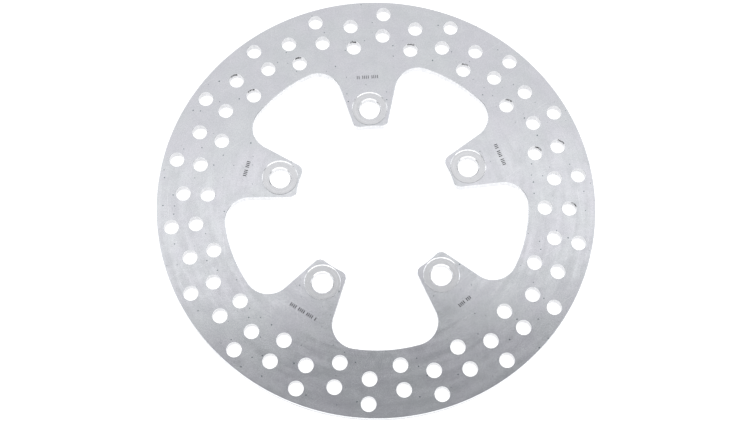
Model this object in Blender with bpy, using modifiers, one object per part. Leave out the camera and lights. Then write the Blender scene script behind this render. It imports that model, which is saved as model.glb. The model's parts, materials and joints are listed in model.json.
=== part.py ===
"""One-piece motorcycle brake disc: a drilled braking band with five bolting lugs inside it.

The hub-side face lies on z = 0 and the outer face, with the spot-faced lugs, looks up (+Z).
The disc's axis is the Z axis, and the second lug points along +Y.
"""

import math

import bmesh
import bpy
from mathutils import Matrix, Vector

MM = 0.001

# Disc
OUTER_DIAMETER = 220.0 * MM
THICKNESS = 5.0 * MM
EDGE_BREAK = 0.3 * MM

# Vent holes: rings of drilled holes across the braking band
VENT_DIAMETER = 7.5 * MM
VENT_RINGS = 4
VENTS_PER_RING = 18
RING_STEP = 6.13 * MM
RIM_WEB = 3.3 * MM
INNER_WEB = 4.5 * MM

# Lugs
LUG_COUNT = 5
BOLT_CIRCLE_DIAMETER = 100.0 * MM
LUG_WIDTH_AT_BOLT = 22.0 * MM
LUG_SIDE_ANGLE = math.radians(15.0)
LUG_TIP_REACH = 9.75 * MM
LUG_CORNER_RADIUS = 3.8 * MM
LUG_ROOT_FILLET = 12.0 * MM

# Bolt holes and their spot faces on the outer side
BOLT_HOLE_DIAMETER = 10.5 * MM
BOLT_HOLE_CHAMFER = 0.5 * MM
SPOT_FACE_DIAMETER = 18.2 * MM
SPOT_FACE_DEPTH = 0.4 * MM

# Angles of the pattern
FIRST_LUG_ANGLE = math.radians(18.0)
LINED_UP_LUG = 3

# Facets on the round stretches
RIM_SIDES = 144
VENT_SIDES = 16
BOLT_SIDES = 32
TIP_STEPS = 3
CORNER_STEPS = 6
FILLET_STEPS = 6
BAY_STEPS = 4

# How far the cutters stand out of the faces they cut
OVERRUN = 2.0 * MM
WELD = 0.001 * MM

# Sizes that follow
RIM_RADIUS = OUTER_DIAMETER / 2
OUTER_RING_RADIUS = RIM_RADIUS - RIM_WEB - VENT_DIAMETER / 2
INNER_RING_RADIUS = OUTER_RING_RADIUS - (VENT_RINGS - 1) * RING_STEP
BAY_RADIUS = INNER_RING_RADIUS - VENT_DIAMETER / 2 - INNER_WEB
BOLT_RADIUS = BOLT_CIRCLE_DIAMETER / 2
TIP_RADIUS = BOLT_RADIUS - LUG_TIP_REACH
LUG_PITCH = 2 * math.pi / LUG_COUNT
VENT_PITCH = 2 * math.pi / VENTS_PER_RING


def empty_scene():
    """Clear the file and return one collection for the parts and one for the cutters."""
    for old in list(bpy.data.objects):
        bpy.data.objects.remove(old, do_unlink=True)
    parts = bpy.data.collections.new("brake_disc")
    cutters = bpy.data.collections.new("cutters")
    bpy.context.scene.collection.children.link(parts)
    bpy.context.scene.collection.children.link(cutters)
    return parts, cutters


def ground_steel():
    """Plain ground stainless steel."""
    material = bpy.data.materials.new("ground_steel")
    material.use_nodes = True
    shader = material.node_tree.nodes["Principled BSDF"]
    shader.inputs["Base Color"].default_value = (0.62, 0.63, 0.65, 1.0)
    shader.inputs["Metallic"].default_value = 1.0
    shader.inputs["Roughness"].default_value = 0.36
    return material


def polar(radius, angle):
    """The point at a radius and an angle round the disc's axis."""
    return Vector((radius * math.cos(angle), radius * math.sin(angle)))


def arc(centre, radius, start, end, steps):
    """Points along an arc from one angle to another, both ends included."""
    angles = [start + (end - start) * step / steps for step in range(steps + 1)]
    return [centre + polar(radius, angle) for angle in angles]


def lug_angle(index):
    """Where a lug points."""
    return FIRST_LUG_ANGLE + index * LUG_PITCH


def half_sector():
    """Half the opening's outline, from a lug's middle to the next bay's middle, lug along +X."""
    side_normal = Vector((-math.sin(LUG_SIDE_ANGLE), math.cos(LUG_SIDE_ANGLE)))
    side_offset = Vector((BOLT_RADIUS, LUG_WIDTH_AT_BOLT / 2)).dot(side_normal)

    corner_reach = TIP_RADIUS + LUG_CORNER_RADIUS
    corner_angle = LUG_SIDE_ANGLE + math.asin((side_offset - LUG_CORNER_RADIUS) / corner_reach)
    corner_centre = polar(corner_reach, corner_angle)

    fillet_reach = BAY_RADIUS - LUG_ROOT_FILLET
    fillet_angle = LUG_SIDE_ANGLE + math.asin((side_offset + LUG_ROOT_FILLET) / fillet_reach)
    fillet_centre = polar(fillet_reach, fillet_angle)

    axis = Vector((0.0, 0.0))
    across = math.pi / 2
    points = arc(axis, TIP_RADIUS, 0.0, corner_angle, TIP_STEPS)[:-1]
    points += arc(
        corner_centre,
        LUG_CORNER_RADIUS,
        corner_angle + math.pi,
        LUG_SIDE_ANGLE + across,
        CORNER_STEPS,
    )
    points += arc(
        fillet_centre, LUG_ROOT_FILLET, LUG_SIDE_ANGLE - across, fillet_angle, FILLET_STEPS
    )
    points += arc(axis, BAY_RADIUS, fillet_angle, LUG_PITCH / 2, BAY_STEPS)[1:]
    return points


def opening_outline():
    """The outline of the opening in the middle, round all the lugs and bays."""
    half = half_sector()
    mirrored = [Vector((point.x, -point.y)) for point in reversed(half[1:-1])]
    outline = []
    for index in range(LUG_COUNT):
        turn = Matrix.Rotation(lug_angle(index), 2)
        outline += [turn @ point for point in mirrored + half]
    return outline


def vent_outlines():
    """One circle for each vent hole, odd and even rings half a pitch apart."""
    outlines = []
    for ring in range(VENT_RINGS):
        radius = INNER_RING_RADIUS + ring * RING_STEP
        first = lug_angle(LINED_UP_LUG) + (ring % 2) * VENT_PITCH / 2
        for number in range(VENTS_PER_RING):
            centre = polar(radius, first + number * VENT_PITCH)
            outlines.append(arc(centre, VENT_DIAMETER / 2, 0.0, 2 * math.pi, VENT_SIDES)[:-1])
    return outlines


def as_cutter(thing, collection):
    """Move an object to the cutters, drawn as wire and left out of renders."""
    for old in list(thing.users_collection):
        old.objects.unlink(thing)
    collection.objects.link(thing)
    thing.display_type = "WIRE"
    thing.hide_render = True
    return thing


def flat_cutter(name, outlines, collection):
    """A closed mesh with the given flat outlines, standing out of both faces of the disc."""
    curve = bpy.data.curves.new(name + "_outline", "CURVE")
    curve.dimensions = "2D"
    curve.fill_mode = "BOTH"
    curve.extrude = THICKNESS / 2 + OVERRUN
    for outline in outlines:
        spline = curve.splines.new("POLY")
        spline.points.add(len(outline) - 1)
        for place, point in zip(spline.points, outline):
            place.co = (point.x, point.y, 0.0, 1.0)
        spline.use_cyclic_u = True
    drawn = bpy.data.objects.new(name + "_curve", curve)
    drawn.location.z = THICKNESS / 2
    collection.objects.link(drawn)
    bpy.context.view_layer.update()

    seen = drawn.evaluated_get(bpy.context.evaluated_depsgraph_get())
    mesh = bpy.data.meshes.new_from_object(seen)
    shape = bmesh.new()
    shape.from_mesh(mesh)
    bmesh.ops.remove_doubles(shape, verts=shape.verts, dist=WELD)
    bmesh.ops.recalc_face_normals(shape, faces=shape.faces)
    shape.to_mesh(mesh)
    shape.free()
    cutter = bpy.data.objects.new(name, mesh)
    cutter.matrix_world = drawn.matrix_world
    bpy.data.objects.remove(drawn, do_unlink=True)
    return as_cutter(cutter, collection)


def bolt_profile():
    """Half the section of a bolt hole's cutter, from its top on the axis down its outer side."""
    floor = THICKNESS - SPOT_FACE_DEPTH
    bore = BOLT_HOLE_DIAMETER / 2
    spot = SPOT_FACE_DIAMETER / 2
    return [
        (0.0, THICKNESS + OVERRUN),
        (spot + OVERRUN, THICKNESS + OVERRUN),
        (spot - SPOT_FACE_DEPTH, floor),
        (bore + BOLT_HOLE_CHAMFER, floor),
        (bore, floor - BOLT_HOLE_CHAMFER),
        (bore, BOLT_HOLE_CHAMFER),
        (bore + BOLT_HOLE_CHAMFER + OVERRUN, -OVERRUN),
        (0.0, -OVERRUN),
    ]


def bolt_cutters(collection):
    """The turned cutter of each bolt hole with its spot face and chamfers."""
    profile = bolt_profile()
    mesh = bpy.data.meshes.new("bolt_hole_profile")
    points = [(across, 0.0, up) for across, up in profile]
    edges = [(index, index + 1) for index in range(len(profile) - 1)]
    mesh.from_pydata(points, edges, [])
    cutters = []
    for index in range(LUG_COUNT):
        cutter = bpy.data.objects.new("bolt_hole_%d" % (index + 1), mesh)
        centre = polar(BOLT_RADIUS, lug_angle(index))
        cutter.location = (centre.x, centre.y, 0.0)
        turned = cutter.modifiers.new("turned", "SCREW")
        turned.steps = BOLT_SIDES
        turned.render_steps = BOLT_SIDES
        turned.use_merge_vertices = True
        turned.merge_threshold = WELD
        cutters.append(as_cutter(cutter, collection))
    return cutters


def cut(thing, cutter):
    """Cut one object out of another."""
    modifier = thing.modifiers.new(cutter.name, "BOOLEAN")
    modifier.operation = "DIFFERENCE"
    modifier.solver = "EXACT"
    modifier.object = cutter


def rotor_disc(parts, cutters):
    """The whole disc: a round blank, opened, edge-broken, drilled and spot-faced."""
    bpy.ops.mesh.primitive_cylinder_add(
        vertices=RIM_SIDES,
        radius=RIM_RADIUS,
        depth=THICKNESS,
        location=(0.0, 0.0, THICKNESS / 2),
    )
    blank = bpy.context.object
    cut(blank, flat_cutter("opening", [opening_outline()], cutters))
    edge = blank.modifiers.new("edge_break", "BEVEL")
    edge.limit_method = "ANGLE"
    edge.angle_limit = math.radians(60.0)
    edge.width = EDGE_BREAK
    edge.segments = 1
    cut(blank, flat_cutter("vents", vent_outlines(), cutters))
    for cutter in bolt_cutters(cutters):
        cut(blank, cutter)
    bpy.context.view_layer.update()

    seen = blank.evaluated_get(bpy.context.evaluated_depsgraph_get())
    mesh = bpy.data.meshes.new_from_object(seen)
    mesh.name = "rotor_disc"
    mesh.shade_smooth()
    mesh.set_sharp_from_angle(angle=math.radians(30.0))
    mesh.materials.clear()
    mesh.materials.append(ground_steel())
    disc = bpy.data.objects.new("rotor_disc", mesh)
    disc.matrix_world = blank.matrix_world
    bpy.data.objects.remove(blank, do_unlink=True)
    parts.objects.link(disc)
    return disc


def main():
    """Build the disc."""
    parts, cutters = empty_scene()
    rotor_disc(parts, cutters)


main()
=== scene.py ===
"""A ground-steel motorcycle brake disc, seen from above on a white light table."""

import json
import math

import bmesh
import bpy
from mathutils import Matrix, Vector


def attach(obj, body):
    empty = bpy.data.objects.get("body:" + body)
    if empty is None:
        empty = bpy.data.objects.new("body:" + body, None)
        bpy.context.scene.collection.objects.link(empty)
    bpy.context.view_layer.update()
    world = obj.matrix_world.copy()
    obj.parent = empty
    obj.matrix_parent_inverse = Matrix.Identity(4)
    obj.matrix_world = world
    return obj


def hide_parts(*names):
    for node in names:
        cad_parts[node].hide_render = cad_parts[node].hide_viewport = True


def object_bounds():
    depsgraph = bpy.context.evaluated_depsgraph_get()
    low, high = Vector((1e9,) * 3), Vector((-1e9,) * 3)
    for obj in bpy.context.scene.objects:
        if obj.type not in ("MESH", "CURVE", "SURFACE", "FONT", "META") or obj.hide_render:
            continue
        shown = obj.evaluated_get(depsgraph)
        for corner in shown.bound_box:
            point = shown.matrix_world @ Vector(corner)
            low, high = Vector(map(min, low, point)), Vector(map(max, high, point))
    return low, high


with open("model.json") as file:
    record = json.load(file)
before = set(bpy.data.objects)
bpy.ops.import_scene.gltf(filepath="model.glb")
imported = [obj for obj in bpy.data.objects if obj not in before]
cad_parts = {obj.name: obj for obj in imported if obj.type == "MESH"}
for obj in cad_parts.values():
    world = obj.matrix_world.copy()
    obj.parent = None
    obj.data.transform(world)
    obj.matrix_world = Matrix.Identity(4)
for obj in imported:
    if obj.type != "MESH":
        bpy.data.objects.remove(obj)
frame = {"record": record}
CAD_LOW, CAD_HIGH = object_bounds()

MM = 0.001

# From the frame
RIM_RADIUS = (CAD_HIGH.x - CAD_LOW.x) / 2
BOTTOM = CAD_LOW.z
TOP = CAD_HIGH.z
MOUNTS = frame["record"]["mounts"]
LUG_SEATS = [mount["pos_m"] for mount in MOUNTS if mount["name"].startswith("hub_seat")]
BOLT_SEATS = [mount["pos_m"] for mount in MOUNTS if mount["name"].startswith("bolt_head_seat")]
BOLT_FLOOR = BOLT_SEATS[0][2]
LUG_ANGLES = [math.atan2(seat[1], seat[0]) for seat in LUG_SEATS]
LUG_COUNT = len(LUG_ANGLES)
LUG_PITCH = 2 * math.pi / LUG_COUNT

# Vent holes, in rings from the inside out; one lug is in line with a pair of them
VENT_RADIUS = 3.75 * MM
VENT_CHAMFER = 0.08 * MM
VENT_RINGS = 4
VENTS_PER_RING = 18
RING_STEP = 6.13 * MM
RIM_WEB = 3.3 * MM
INNER_WEB = 4.5 * MM
LINED_UP_LUG = 3
OUTER_RING_RADIUS = RIM_RADIUS - RIM_WEB - VENT_RADIUS
INNER_RING_RADIUS = OUTER_RING_RADIUS - (VENT_RINGS - 1) * RING_STEP
VENT_PITCH = 2 * math.pi / VENTS_PER_RING

# Lugs and opening
BOLT_RADIUS = 50.0 * MM
LUG_HALF_WIDTH = 11.0 * MM
LUG_SIDE_ANGLE = math.radians(15.0)
LUG_TIP_REACH = 9.75 * MM
TIP_RADIUS = BOLT_RADIUS - LUG_TIP_REACH
CORNER_RADIUS = 3.8 * MM
ROOT_FILLET = 12.0 * MM
BAY_RADIUS = INNER_RING_RADIUS - VENT_RADIUS - INNER_WEB
EDGE_BREAK = 0.3 * MM

# The wall of the rim and of the opening, top to bottom: how far it stands back, and its height
BROKEN_EDGES = [
    (EDGE_BREAK, TOP),
    (0.0, TOP - EDGE_BREAK),
    (0.0, BOTTOM + EDGE_BREAK),
    (EDGE_BREAK, BOTTOM),
]

# Bolt holes and spot faces
BOLT_HOLE_RADIUS = 5.25 * MM
BOLT_CHAMFER = 0.5 * MM
SPOT_RADIUS = 9.1 * MM

# Etched tick marks, every fifth place left empty: one row of its own length on each lug, one faint
MARK_REACH = 67.5 * MM
MARK_LENGTHS = [13.0 * MM, 11.5 * MM, 10.0 * MM, 15.5 * MM, 8.0 * MM]
MARK_HEIGHT = 1.8 * MM
MARK_STROKE = 0.45 * MM
MARK_STEP = 0.95 * MM
MARK_GROUP = 5
MARK_DEPTH = 0.04 * MM
FAINT_MARK = 1

# Near-black patches high on the walls of some vent holes: (ring, number), counted from the
# lined-up lug
DARK_PATCHED_HOLES = {(0, number) for number in range(7, 14)} | {(2, 6), (2, 7), (2, 13)}
DARK_PATCH_SPREAD = math.radians(28.0)
DARK_PATCH_DEPTH = 2.4 * MM

# Which step of a vent hole's wall carries it, the chamfer being step 0
DARK_PATCH_STEP = 1

# Fineness of the round stretches
RIM_SIDES = 360
VENT_SIDES = 48
BOLT_SIDES = 96
TIP_STEPS = 8
CORNER_STEPS = 16
FILLET_STEPS = 24
BAY_STEPS = 16
SHARP_ANGLE = math.radians(25.0)

# The disc's materials, by their places in its list
FACE, WALL, SPOT, MARK, FAINT, DARK_PATCHED_WALL, EDGE_HIGHLIGHT, RIM = range(8)

# Colours of the ground faces
VIOLET_STEEL = (0.624, 0.616, 0.648, 1.0)
GREEN_STEEL = (0.614, 0.625, 0.636, 1.0)
DARK_GRIND = (0.40, 0.41, 0.44, 1.0)
PALE_SCRATCH = (0.82, 0.82, 0.83, 1.0)
SPECK = (0.04, 0.08, 0.09, 1.0)

# Colours of the walls, the rim, the turned edges (brightened to near white, a painted highlight)
# and the spot faces
DARK_WALL = (0.65, 0.655, 0.67, 1.0)
PALE_WALL = (0.73, 0.73, 0.745, 1.0)
# Near-black of the patches high on some vent walls, on the sides facing away from the near side
NEAR_BLACK_PATCH = (0.012, 0.012, 0.014, 1.0)
DARK_RIM = (0.54, 0.545, 0.56, 1.0)
PALE_RIM = (0.64, 0.64, 0.655, 1.0)
DULL_RIM = (0.4, 0.4, 0.41, 1.0)
# Turned steel painted near white on the edges: a painted highlight
EDGE_HIGHLIGHT_DIM = (0.72, 0.72, 0.73, 1.0)
EDGE_HIGHLIGHT_BRIGHT = (0.95, 0.95, 0.95, 1.0)
DARK_SPOT = (0.575, 0.575, 0.588, 1.0)
PALE_SPOT = (0.65, 0.65, 0.662, 1.0)
DULL_SPOT = (0.5, 0.5, 0.52, 1.0)
SPOT_SPECK = (0.15, 0.15, 0.16, 1.0)

# Colours of the etched ticks
DARK_ETCHING = (0.02, 0.02, 0.025, 1.0)
GREY_ETCHING = (0.16, 0.16, 0.17, 1.0)
PALE_ETCHING = (0.4, 0.4, 0.42, 1.0)

# Scratches: direction in radians, length, and the noise level that they start at
CROSS_SCRATCHES = (0.55, 24.0 * MM, 0.79)
UPRIGHT_SCRATCHES = (1.62, 22.0 * MM, 0.8)
DARK_SCRATCHES = (-0.95, 20.0 * MM, 0.76)
SCRATCH_WIDTH = 0.3 * MM
SCRATCH_SOFTNESS = 0.08

# Specks, in shares of the distance between them: edge, unevenness, difference in size
SPECK_CORE = 0.025
SPECK_EDGE = 0.068
SPECK_UNEVENNESS = 0.1
SPECK_VARIETY = 0.07
SPECK_OUTLINE_SCALE = 2600.0

# The band's middle, where the grinding arcs have their stated length
MEAN_BAND_RADIUS = (RIM_RADIUS + BAY_RADIUS) / 2

# Light
CEILING_LIGHT = 0.51
HORIZON_LIGHT = 1.9
HORIZON_EDGE = 0.04
CEILING_EDGE = 0.2
SKY = (0.95, 0.97, 1.0, 1.0)
NEAR_PANEL_LIGHT = 0.86
FAR_PANEL_LIGHT = 0.58
LOW_PANEL_LIGHT = 1.0
LOW_PANEL_SIZE = (10.0, 1.5)
LOW_PANEL_PLACE = (0.0, -3.0, 1.05)
CEILING_HEIGHT = 2.0

# Panels overhead: name, west, east, south and north edges in metres, brightness
CEILING_PANELS = [
    ("near_west_panel", -2.0, -0.06, 0.45, 0.79, NEAR_PANEL_LIGHT),
    ("near_middle_panel", -0.06, 0.22, 0.52, 0.79, NEAR_PANEL_LIGHT),
    ("near_east_panel", 0.22, 2.0, 0.45, 0.79, NEAR_PANEL_LIGHT),
    ("far_panel", -2.0, 2.0, 0.79, 1.6, FAR_PANEL_LIGHT),
]

# Light table
TABLE_SIZE = 6.0
TABLE_GAP = 0.2 * MM
TABLE_GLOW = 0.8
TABLE_WHITE = (0.9, 0.9, 0.9, 1.0)
GLOW_WHITE = (1.0, 1.0, 1.0, 1.0)

# Camera; its lens and sensor are in millimetres, as Blender states them
CAMERA_TARGET = Vector((-1.05 * MM, -5.25 * MM, TOP))
CAMERA_DISTANCE = 750.7 * MM
CAMERA_ELEVATION = math.radians(71.62)
CAMERA_AZIMUTH = math.radians(-96.37)
CAMERA_ROLL = math.radians(2.58)
CAMERA_LENS = 72.1
CAMERA_SENSOR = 36.0
CAMERA_NEAREST = 10.0 * MM


def polar(radius, angle):
    """The point at a radius and an angle round the disc's axis."""
    return Vector((radius * math.cos(angle), radius * math.sin(angle)))


def arc(centre, radius, start, end, steps):
    """Points along an arc from one angle to another, both ends included."""
    angles = [start + (end - start) * step / steps for step in range(steps + 1)]
    return [centre + polar(radius, angle) for angle in angles]


def circle(centre, radius, sides):
    """A closed circle's points."""
    return arc(centre, radius, 0.0, 2 * math.pi, sides)[:-1]


def half_sector(grow):
    """Half of one lug's and bay's outline, lug along +X, grown into the steel."""
    normal = Vector((-math.sin(LUG_SIDE_ANGLE), math.cos(LUG_SIDE_ANGLE)))
    side = Vector((BOLT_RADIUS, LUG_HALF_WIDTH)).dot(normal) - grow
    tip = TIP_RADIUS + grow
    corner = CORNER_RADIUS - grow
    fillet = ROOT_FILLET + grow
    bay = BAY_RADIUS + grow
    corner_angle = LUG_SIDE_ANGLE + math.asin((side - corner) / (tip + corner))
    fillet_angle = LUG_SIDE_ANGLE + math.asin((side + fillet) / (bay - fillet))
    across = math.pi / 2
    axis = Vector((0.0, 0.0))
    half = arc(axis, tip, 0.0, corner_angle, TIP_STEPS)[:-1]
    half += arc(
        polar(tip + corner, corner_angle),
        corner,
        corner_angle + math.pi,
        LUG_SIDE_ANGLE + across,
        CORNER_STEPS,
    )
    half += arc(
        polar(bay - fillet, fillet_angle),
        fillet,
        LUG_SIDE_ANGLE - across,
        fillet_angle,
        FILLET_STEPS,
    )
    half += arc(axis, bay, fillet_angle, LUG_PITCH / 2, BAY_STEPS)[1:]
    return half


def opening_outline(grow):
    """The opening's outline, grown into the steel by the given amount."""
    half = half_sector(grow)
    whole = [Vector((point.x, -point.y)) for point in reversed(half[1:-1])] + half
    points = []
    for angle in LUG_ANGLES:
        turn = Matrix.Rotation(angle, 2)
        points += [turn @ point for point in whole]
    return points


def vent_places():
    """The ring, number and centre of every vent hole."""
    places = []
    for ring in range(VENT_RINGS):
        radius = INNER_RING_RADIUS + ring * RING_STEP
        first = LUG_ANGLES[LINED_UP_LUG] + (ring % 2) * VENT_PITCH / 2
        for number in range(VENTS_PER_RING):
            places.append((ring, number, polar(radius, first + number * VENT_PITCH)))
    return places


class Plate:
    """A flat plate built from closed loops: walls run from loop to loop, faces fill between."""

    def __init__(self):
        self.shape = bmesh.new()
        self.top_edges = []
        self.bottom_edges = []

    def loop(self, points, height):
        """A closed loop of points at a height."""
        return [self.shape.verts.new((point.x, point.y, height)) for point in points]

    def edges(self, loop):
        """The edges round a loop."""
        pairs = zip(loop, loop[1:] + loop[:1])
        return [self.shape.edges.get(pair) or self.shape.edges.new(pair) for pair in pairs]

    def wall(self, upper, lower, material, dark_sides=()):
        """Quads between two loops of as many points, the dark sides with near-black patches on
        them.
        """
        count = len(upper)
        for k in range(count):
            after = (k + 1) % count
            face = self.shape.faces.new((upper[k], upper[after], lower[after], lower[k]))
            face.material_index = DARK_PATCHED_WALL if k in dark_sides else material
            face.smooth = True

    def through(self, sections, materials, dark_sides=()):
        """A wall right through the plate, from sections of (points, height) top to bottom."""
        loops = [self.loop(points, height) for points, height in sections]
        for step, material in enumerate(materials):
            dark = dark_sides if step == DARK_PATCH_STEP else ()
            self.wall(loops[step], loops[step + 1], material, dark)
        self.top_edges += self.edges(loops[0])
        self.bottom_edges += self.edges(loops[-1])

    def pocket(self, points, height, depth, material):
        """A shallow engraved patch in the top face."""
        rim = self.loop(points, height)
        floor = self.loop(points, height - depth)
        self.wall(rim, floor, material)
        self.shape.faces.new(floor).material_index = material
        self.top_edges += self.edges(rim)

    def faces(self):
        """Fill the top and bottom faces between all their loops."""
        for edges in (self.top_edges, self.bottom_edges):
            bmesh.ops.triangle_fill(self.shape, edges=edges, use_beauty=True)

    def finish(self, name, materials):
        """Turn the plate into an object."""
        bmesh.ops.recalc_face_normals(self.shape, faces=self.shape.faces)
        mesh = bpy.data.meshes.new(name)
        self.shape.to_mesh(mesh)
        self.shape.free()
        for material in materials:
            mesh.materials.append(material)
        mesh.set_sharp_from_angle(angle=SHARP_ANGLE)
        thing = bpy.data.objects.new(name, mesh)
        bpy.context.scene.collection.objects.link(thing)
        return thing


def add_rim(plate):
    """The outside edge."""
    axis = Vector((0.0, 0.0))
    sections = [
        (circle(axis, RIM_RADIUS - back, RIM_SIDES), height) for back, height in BROKEN_EDGES
    ]
    plate.through(sections, [WALL, RIM, WALL])


def add_opening(plate):
    """The opening in the middle."""
    sections = [(opening_outline(back), height) for back, height in BROKEN_EDGES]
    plate.through(sections, [WALL, WALL, WALL])


def dark_patch_sides(centre):
    """The sides of a vent hole that face away from the disc's middle and from its near side."""
    outward = centre.normalized() + Vector((0.0, 1.0))
    middle = math.atan2(outward.y, outward.x)
    sides = set()
    for k in range(VENT_SIDES):
        away = (2 * math.pi * (k + 0.5) / VENT_SIDES - middle + math.pi) % (2 * math.pi) - math.pi
        if abs(away) < DARK_PATCH_SPREAD:
            sides.add(k)
    return sides


def add_vents(plate):
    """The drilled vent holes with their small chamfers, and near-black patches in some of them."""
    heights = [
        (VENT_CHAMFER, TOP),
        (0.0, TOP - VENT_CHAMFER),
        (0.0, TOP - DARK_PATCH_DEPTH),
        (0.0, BOTTOM + VENT_CHAMFER),
        (VENT_CHAMFER, BOTTOM),
    ]
    for ring, number, centre in vent_places():
        sections = [
            (circle(centre, VENT_RADIUS + grow, VENT_SIDES), height) for grow, height in heights
        ]
        dark_sides = dark_patch_sides(centre) if (ring, number) in DARK_PATCHED_HOLES else ()
        plate.through(sections, [FACE, WALL, WALL, FACE], dark_sides)


def add_bolt_holes(plate):
    """The bolt holes, spot-faced on top and chamfered on both sides."""
    drop = TOP - BOLT_FLOOR
    profile = [
        (SPOT_RADIUS, TOP),
        (SPOT_RADIUS - drop, BOLT_FLOOR),
        (BOLT_HOLE_RADIUS + BOLT_CHAMFER, BOLT_FLOOR),
        (BOLT_HOLE_RADIUS, BOLT_FLOOR - BOLT_CHAMFER),
        (BOLT_HOLE_RADIUS, BOTTOM + BOLT_CHAMFER),
        (BOLT_HOLE_RADIUS + BOLT_CHAMFER, BOTTOM),
    ]
    for angle in LUG_ANGLES:
        centre = polar(BOLT_RADIUS, angle)
        sections = [(circle(centre, radius, BOLT_SIDES), height) for radius, height in profile]
        plate.through(sections, [EDGE_HIGHLIGHT, SPOT, EDGE_HIGHLIGHT, WALL, WALL])


def add_marks(plate):
    """Rows of plain etched ticks in groups, outside the spot faces."""
    for index, (angle, length) in enumerate(zip(LUG_ANGLES, MARK_LENGTHS)):
        count = int(length / MARK_STEP)
        turn = Matrix.Rotation(angle, 2)
        material = FAINT if index == FAINT_MARK else MARK
        for k in range(count):
            if k % MARK_GROUP == MARK_GROUP - 1:
                continue
            along = (k - (count - 1) / 2) * MARK_STEP
            corners = [
                Vector((MARK_REACH + MARK_HEIGHT / 2 * side, along + MARK_STROKE / 2 * end))
                for side, end in ((-1, -1), (1, -1), (1, 1), (-1, 1))
            ]
            plate.pocket([turn @ corner for corner in corners], TOP, MARK_DEPTH, material)


class Nodes:
    """Short ways to add and join shader nodes in one material."""

    def __init__(self, name, metallic, roughness):
        self.material = bpy.data.materials.new(name)
        self.material.use_nodes = True
        self.tree = self.material.node_tree
        self.shader = self.tree.nodes["Principled BSDF"]
        self.shader.inputs["Metallic"].default_value = metallic
        self.shader.inputs["Roughness"].default_value = roughness

    def put(self, socket, value):
        """Join a socket to another, or set its value."""
        if isinstance(value, bpy.types.NodeSocket):
            self.tree.links.new(value, socket)
        else:
            socket.default_value = value

    def math(self, operation, *values):
        """A Math node."""
        node = self.tree.nodes.new("ShaderNodeMath")
        node.operation = operation
        for socket, value in zip(node.inputs, values):
            self.put(socket, value)
        return node.outputs[0]

    def vector(self, x, y, z):
        """A vector from three numbers."""
        node = self.tree.nodes.new("ShaderNodeCombineXYZ")
        for socket, value in zip(node.inputs, (x, y, z)):
            self.put(socket, value)
        return node.outputs[0]

    def place(self):
        """The surface point's x, y and z in the disc's own axes."""
        coordinates = self.tree.nodes.new("ShaderNodeTexCoord")
        split = self.tree.nodes.new("ShaderNodeSeparateXYZ")
        self.tree.links.new(coordinates.outputs["Object"], split.inputs[0])
        return split.outputs[0], split.outputs[1], split.outputs[2]

    def noise(self, where, scale, detail=2.0, roughness=0.5):
        """Noise from 0 to 1 at a vector."""
        node = self.tree.nodes.new("ShaderNodeTexNoise")
        self.put(node.inputs["Vector"], where)
        node.inputs["Scale"].default_value = scale
        node.inputs["Detail"].default_value = detail
        node.inputs["Roughness"].default_value = roughness
        return node.outputs["Fac"]

    def cells(self, where, scale):
        """Flat distance to the nearest of scattered points, and two random numbers for it."""
        node = self.tree.nodes.new("ShaderNodeTexVoronoi")
        node.voronoi_dimensions = "2D"
        self.put(node.inputs["Vector"], where)
        node.inputs["Scale"].default_value = scale
        split = self.tree.nodes.new("ShaderNodeSeparateColor")
        self.tree.links.new(node.outputs["Color"], split.inputs[0])
        return node.outputs["Distance"], split.outputs[0], split.outputs[1]

    def spread(self, value, low, high, out_low=0.0, out_high=1.0):
        """A value moved from one range to another, smoothly and within its ends."""
        node = self.tree.nodes.new("ShaderNodeMapRange")
        node.interpolation_type = "SMOOTHSTEP"
        self.put(node.inputs["Value"], value)
        node.inputs["From Min"].default_value = low
        node.inputs["From Max"].default_value = high
        node.inputs["To Min"].default_value = out_low
        node.inputs["To Max"].default_value = out_high
        return node.outputs["Result"]

    def blend(self, share, first, second):
        """A mix of two colours."""
        node = self.tree.nodes.new("ShaderNodeMix")
        node.data_type = "RGBA"
        self.put(node.inputs["Factor"], share)
        self.put(node.inputs["A"], first)
        self.put(node.inputs["B"], second)
        return node.outputs["Result"]

    def bump(self, height, distance):
        """Bump on the shader's normal."""
        node = self.tree.nodes.new("ShaderNodeBump")
        self.put(node.inputs["Height"], height)
        node.inputs["Distance"].default_value = distance
        self.tree.links.new(node.outputs["Normal"], self.shader.inputs["Normal"])


def length_of(nodes, x, y):
    """The distance from the origin of a flat point."""
    squares = nodes.math("ADD", nodes.math("MULTIPLY", x, x), nodes.math("MULTIPLY", y, y))
    return nodes.math("SQRT", squares)


def grind_lines(nodes, x, y, across, along):
    """Noise drawn out into arcs round the disc's axis: lines across apart and along in length."""
    radius = length_of(nodes, x, y)
    turns = MEAN_BAND_RADIUS / along
    where = nodes.vector(
        nodes.math("MULTIPLY", nodes.math("DIVIDE", x, radius), turns),
        nodes.math("MULTIPLY", nodes.math("DIVIDE", y, radius), turns),
        nodes.math("DIVIDE", radius, across),
    )
    return nodes.noise(where, 1.0, 3.0, 0.6)


def scratches(nodes, x, y, angle, length, start):
    """Sparse thin straight scratches in one direction, from 0 to 1."""
    cos = math.cos(angle)
    sin = math.sin(angle)
    along = nodes.math("ADD", nodes.math("MULTIPLY", x, cos), nodes.math("MULTIPLY", y, sin))
    across = nodes.math("SUBTRACT", nodes.math("MULTIPLY", y, cos), nodes.math("MULTIPLY", x, sin))
    where = nodes.vector(
        nodes.math("DIVIDE", along, length), nodes.math("DIVIDE", across, SCRATCH_WIDTH), angle
    )
    return nodes.spread(nodes.noise(where, 1.0, detail=0.0), start, start + SCRATCH_SOFTNESS)


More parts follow.
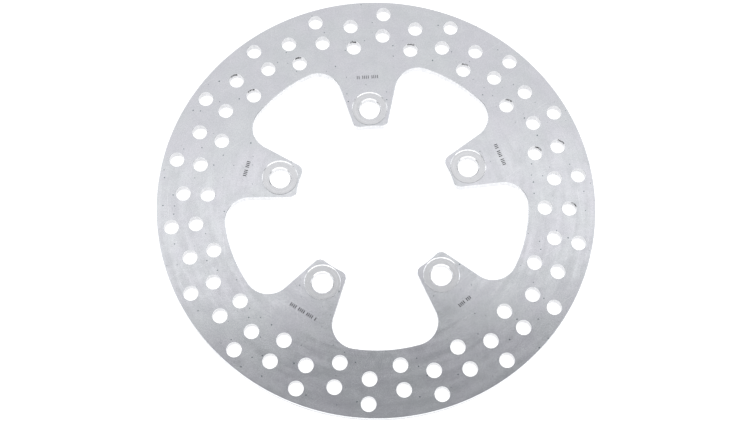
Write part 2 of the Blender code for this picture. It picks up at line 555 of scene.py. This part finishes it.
def specks(nodes, x, y, scale, share):
    """Small spots of uneven size and outline at a share of scattered points, from 0 to 1."""
    flat = nodes.vector(x, y, 0.0)
    uneven = nodes.noise(flat, SPECK_OUTLINE_SCALE, detail=1.0)
    near, chance, size = nodes.cells(flat, scale)
    edge = nodes.math("ADD", near, nodes.math("MULTIPLY", uneven, SPECK_UNEVENNESS))
    edge = nodes.math("SUBTRACT", edge, nodes.math("MULTIPLY", size, SPECK_VARIETY))
    inside = nodes.spread(edge, SPECK_CORE, SPECK_EDGE, out_low=1.0, out_high=0.0)
    picked = nodes.spread(chance, 1.0 - share, 1.02 - share)
    return nodes.math("MULTIPLY", inside, picked)


def ground_face():
    """The ground faces: clouded steel with faint grinding arcs, light scratches and specks."""
    nodes = Nodes("ground_face", 1.0, 0.17)
    x, y, _ = nodes.place()
    flat = nodes.vector(x, y, 0.0)
    fine = grind_lines(nodes, x, y, across=0.3 * MM, along=5.0 * MM)
    broad = grind_lines(nodes, x, y, across=3.5 * MM, along=35.0 * MM)
    grain = nodes.noise(flat, 1300.0, detail=3.0, roughness=0.7)
    tint = nodes.noise(flat, 42.0, detail=3.0, roughness=0.6)
    cloud = nodes.noise(nodes.vector(x, y, 0.4), 95.0, detail=5.0, roughness=0.7)
    smear = nodes.noise(nodes.vector(x, y, 0.9), 170.0, detail=5.0, roughness=0.75)
    cross = scratches(nodes, x, y, *CROSS_SCRATCHES)
    upright = scratches(nodes, x, y, *UPRIGHT_SCRATCHES)
    pale = nodes.math("MAXIMUM", cross, upright)
    dark = scratches(nodes, x, y, *DARK_SCRATCHES)
    spots = specks(nodes, x, y, scale=200.0, share=0.36)

    clouded = nodes.spread(cloud, 0.3, 0.7, out_low=0.22, out_high=0.0)
    grained = nodes.spread(grain, 0.3, 0.7, out_low=0.28, out_high=0.0)
    lined = nodes.spread(fine, 0.3, 0.7, out_low=0.07, out_high=0.0)
    colour = nodes.blend(nodes.spread(tint, 0.35, 0.65), VIOLET_STEEL, GREEN_STEEL)
    colour = nodes.blend(clouded, colour, DARK_GRIND)
    colour = nodes.blend(grained, colour, DARK_GRIND)
    colour = nodes.blend(lined, colour, DARK_GRIND)
    colour = nodes.blend(nodes.math("MULTIPLY", dark, 0.3), colour, DARK_GRIND)
    colour = nodes.blend(nodes.math("MULTIPLY", pale, 0.28), colour, PALE_SCRATCH)
    colour = nodes.blend(nodes.math("MULTIPLY", spots, 0.92), colour, SPECK)
    nodes.put(nodes.shader.inputs["Base Color"], colour)

    worn = nodes.math("MULTIPLY", nodes.math("ADD", smear, broad), 0.5)
    roughness = nodes.spread(worn, 0.36, 0.64, out_low=0.12, out_high=0.22)
    nodes.put(nodes.shader.inputs["Roughness"], roughness)
    height = nodes.math("ADD", nodes.math("MULTIPLY", fine, 0.6), grain)
    height = nodes.math("SUBTRACT", height, nodes.math("MAXIMUM", dark, spots))
    nodes.bump(height, 0.0018 * MM)
    return nodes.material


def wall_colour(nodes, x, y, z):
    """Bright cut steel with faint upright streaks: its colour and the streaks."""
    upright = nodes.vector(x, y, nodes.math("MULTIPLY", z, 0.1))
    streaks = nodes.noise(upright, 900.0, detail=1.0)
    return nodes.blend(nodes.spread(streaks, 0.3, 0.7), DARK_WALL, PALE_WALL), streaks


def bright_wall():
    """Cut and drilled walls, and the broken edges of the rim and the opening."""
    nodes = Nodes("cut_wall", 1.0, 0.25)
    colour, streaks = wall_colour(nodes, *nodes.place())
    nodes.put(nodes.shader.inputs["Base Color"], colour)
    nodes.bump(streaks, 0.004 * MM)
    return nodes.material


def turned_rim():
    """The outside wall, turned on a lathe: fine level lines with duller stretches."""
    nodes = Nodes("turned_rim", 1.0, 0.3)
    x, y, z = nodes.place()
    level = nodes.vector(0.0, 0.0, nodes.math("DIVIDE", z, 0.3 * MM))
    lines = nodes.noise(level, 1.0, detail=2.0)
    cloud = nodes.noise(nodes.vector(x, y, z), 120.0, detail=4.0, roughness=0.65)
    dull = nodes.spread(cloud, 0.4, 0.7, out_low=0.0, out_high=0.4)
    colour = nodes.blend(nodes.spread(lines, 0.3, 0.7), DARK_RIM, PALE_RIM)
    colour = nodes.blend(dull, colour, DULL_RIM)
    nodes.put(nodes.shader.inputs["Base Color"], colour)
    nodes.bump(lines, 0.01 * MM)
    return nodes.material


def edge_with_painted_highlight():
    """Turned edges, the spot faces' sides and the bolt holes' upper chamfers: turned steel painted
    near white as a highlight.
    """
    nodes = Nodes("turned_edge_painted_highlight", 1.0, 0.2)
    x, y, _ = nodes.place()
    uneven = nodes.noise(nodes.vector(x, y, 0.0), 700.0, detail=2.0)
    colour = nodes.blend(nodes.spread(uneven, 0.35, 0.65), EDGE_HIGHLIGHT_DIM, EDGE_HIGHLIGHT_BRIGHT)
    nodes.put(nodes.shader.inputs["Base Color"], colour)
    return nodes.material


def dark_wall_patches():
    """Drilled walls with ragged near-black patches near their top."""
    nodes = Nodes("hole_dark_patches", 0.3, 0.6)
    x, y, z = nodes.place()
    colour, _ = wall_colour(nodes, x, y, z)
    patch = nodes.noise(nodes.vector(x, y, nodes.math("MULTIPLY", z, 1.5)), 900.0, detail=3.0)
    lowest = TOP - DARK_PATCH_DEPTH
    thickest = TOP - 0.6 * DARK_PATCH_DEPTH
    thickness = nodes.spread(z, lowest, thickest, out_low=-0.12, out_high=0.16)
    share = nodes.spread(nodes.math("ADD", patch, thickness), 0.56, 0.66)
    colour = nodes.blend(share, colour, NEAR_BLACK_PATCH)
    nodes.put(nodes.shader.inputs["Base Color"], colour)
    nodes.put(nodes.shader.inputs["Metallic"], nodes.math("SUBTRACT", 1.0, share))
    return nodes.material


def turned_spot():
    """The machined floor of the spot faces: fine rings round each bolt hole."""
    nodes = Nodes("spot_face", 1.0, 0.22)
    x, y, _ = nodes.place()
    angle = nodes.math("ARCTAN2", y, x)
    shifted = nodes.math("ADD", angle, LUG_PITCH / 2 - LUG_ANGLES[0] + 2 * math.pi)
    local = nodes.math("SUBTRACT", nodes.math("MODULO", shifted, LUG_PITCH), LUG_PITCH / 2)
    radius = length_of(nodes, x, y)
    out = nodes.math("MULTIPLY", radius, nodes.math("COSINE", local))
    aside = nodes.math("MULTIPLY", radius, nodes.math("SINE", local))
    ring = length_of(nodes, nodes.math("SUBTRACT", out, BOLT_RADIUS), aside)
    round_hole = nodes.vector(nodes.math("DIVIDE", ring, 0.4 * MM), local, 0.0)
    lines = nodes.noise(round_hole, 1.0, detail=2.0)
    cloud = nodes.noise(nodes.vector(x, y, 0.0), 260.0, detail=4.0, roughness=0.65)
    dull = nodes.spread(cloud, 0.4, 0.75, out_low=0.0, out_high=0.35)
    spots = specks(nodes, x, y, scale=330.0, share=0.25)

    colour = nodes.blend(nodes.spread(lines, 0.3, 0.7), DARK_SPOT, PALE_SPOT)
    colour = nodes.blend(dull, colour, DULL_SPOT)
    colour = nodes.blend(nodes.math("MULTIPLY", spots, 0.45), colour, SPOT_SPECK)
    nodes.put(nodes.shader.inputs["Base Color"], colour)
    nodes.bump(lines, 0.003 * MM)
    return nodes.material


def etched(name, dark, light):
    """Laser etching, darker and lighter in places."""
    nodes = Nodes(name, 0.2, 0.6)
    x, y, _ = nodes.place()
    uneven = nodes.noise(nodes.vector(x, y, 0.0), 1800.0, detail=2.0)
    colour = nodes.blend(nodes.spread(uneven, 0.35, 0.65), dark, light)
    nodes.put(nodes.shader.inputs["Base Color"], colour)
    return nodes.material


def brake_disc():
    """The whole disc as one piece."""
    plate = Plate()
    add_rim(plate)
    add_opening(plate)
    add_vents(plate)
    add_bolt_holes(plate)
    add_marks(plate)
    plate.faces()
    materials = [
        ground_face(),
        bright_wall(),
        turned_spot(),
        etched("etched_mark", DARK_ETCHING, GREY_ETCHING),
        etched("faint_mark", GREY_ETCHING, PALE_ETCHING),
        dark_wall_patches(),
        edge_with_painted_highlight(),
        turned_rim(),
    ]
    disc = plate.finish("brake_disc", materials)
    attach(disc, "root")
    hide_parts("rotor_disc")


def light_table():
    """A plain white floor that glows a little, like a photographer's light table."""
    bpy.ops.mesh.primitive_plane_add(size=TABLE_SIZE, location=(0.0, 0.0, BOTTOM - TABLE_GAP))
    floor = bpy.context.object
    floor.name = "floor"
    nodes = Nodes("white_table", 0.0, 0.6)
    nodes.shader.inputs["Base Color"].default_value = TABLE_WHITE
    nodes.shader.inputs["Emission Color"].default_value = GLOW_WHITE
    nodes.shader.inputs["Emission Strength"].default_value = TABLE_GLOW
    floor.data.materials.append(nodes.material)


def panel(name, size, place, target, radiance):
    """A rectangular soft light of a given brightness, aimed at a point."""
    light = bpy.data.lights.new(name, "AREA")
    light.shape = "RECTANGLE"
    light.size = size[0]
    light.size_y = size[1]
    light.energy = radiance * math.pi * size[0] * size[1]
    thing = bpy.data.objects.new(name, light)
    thing.location = place
    thing.rotation_euler = (Vector(target) - Vector(place)).to_track_quat("-Z", "Y").to_euler()
    bpy.context.scene.collection.objects.link(thing)


def studio():
    """A pale room with a bright horizon, panels over the far side and one low in front."""
    world = bpy.data.worlds.new("studio")
    world.use_nodes = True
    tree = world.node_tree
    sky = tree.nodes["Background"]
    sky.inputs["Color"].default_value = SKY
    direction = tree.nodes.new("ShaderNodeTexCoord")
    split = tree.nodes.new("ShaderNodeSeparateXYZ")
    fade = tree.nodes.new("ShaderNodeMapRange")
    fade.inputs["From Min"].default_value = HORIZON_EDGE
    fade.inputs["From Max"].default_value = CEILING_EDGE
    fade.inputs["To Min"].default_value = HORIZON_LIGHT
    fade.inputs["To Max"].default_value = CEILING_LIGHT
    tree.links.new(direction.outputs["Generated"], split.inputs[0])
    height = tree.nodes.new("ShaderNodeMath")
    height.operation = "ABSOLUTE"
    tree.links.new(split.outputs["Z"], height.inputs[0])
    tree.links.new(height.outputs[0], fade.inputs["Value"])
    tree.links.new(fade.outputs["Result"], sky.inputs["Strength"])
    bpy.context.scene.world = world
    for name, west, east, south, north, radiance in CEILING_PANELS:
        place = Vector(((west + east) / 2, (south + north) / 2, CEILING_HEIGHT))
        straight_down = Vector((place.x, place.y, 0.0))
        panel(name, (east - west, north - south), place, straight_down, radiance)
    panel("low_panel", LOW_PANEL_SIZE, LOW_PANEL_PLACE, (0.0, 0.0, 0.0), LOW_PANEL_LIGHT)
    bpy.context.scene.view_settings.view_transform = "Standard"


def camera():
    """The camera, a long lens high over the disc's near side."""
    lens = bpy.data.cameras.new("camera")
    lens.lens = CAMERA_LENS
    lens.sensor_width = CAMERA_SENSOR
    lens.clip_start = CAMERA_NEAREST
    eye = bpy.data.objects.new("camera", lens)
    back = Vector(
        (
            math.cos(CAMERA_AZIMUTH) * math.cos(CAMERA_ELEVATION),
            math.sin(CAMERA_AZIMUTH) * math.cos(CAMERA_ELEVATION),
            math.sin(CAMERA_ELEVATION),
        )
    )
    aim = (-back).to_track_quat("-Z", "Y").to_matrix()
    turned = aim @ Matrix.Rotation(CAMERA_ROLL, 3, "Z")
    eye.matrix_world = Matrix.Translation(CAMERA_TARGET + back * CAMERA_DISTANCE) @ turned.to_4x4()
    bpy.context.scene.collection.objects.link(eye)
    bpy.context.scene.camera = eye


camera()
brake_disc()
light_table()
studio()
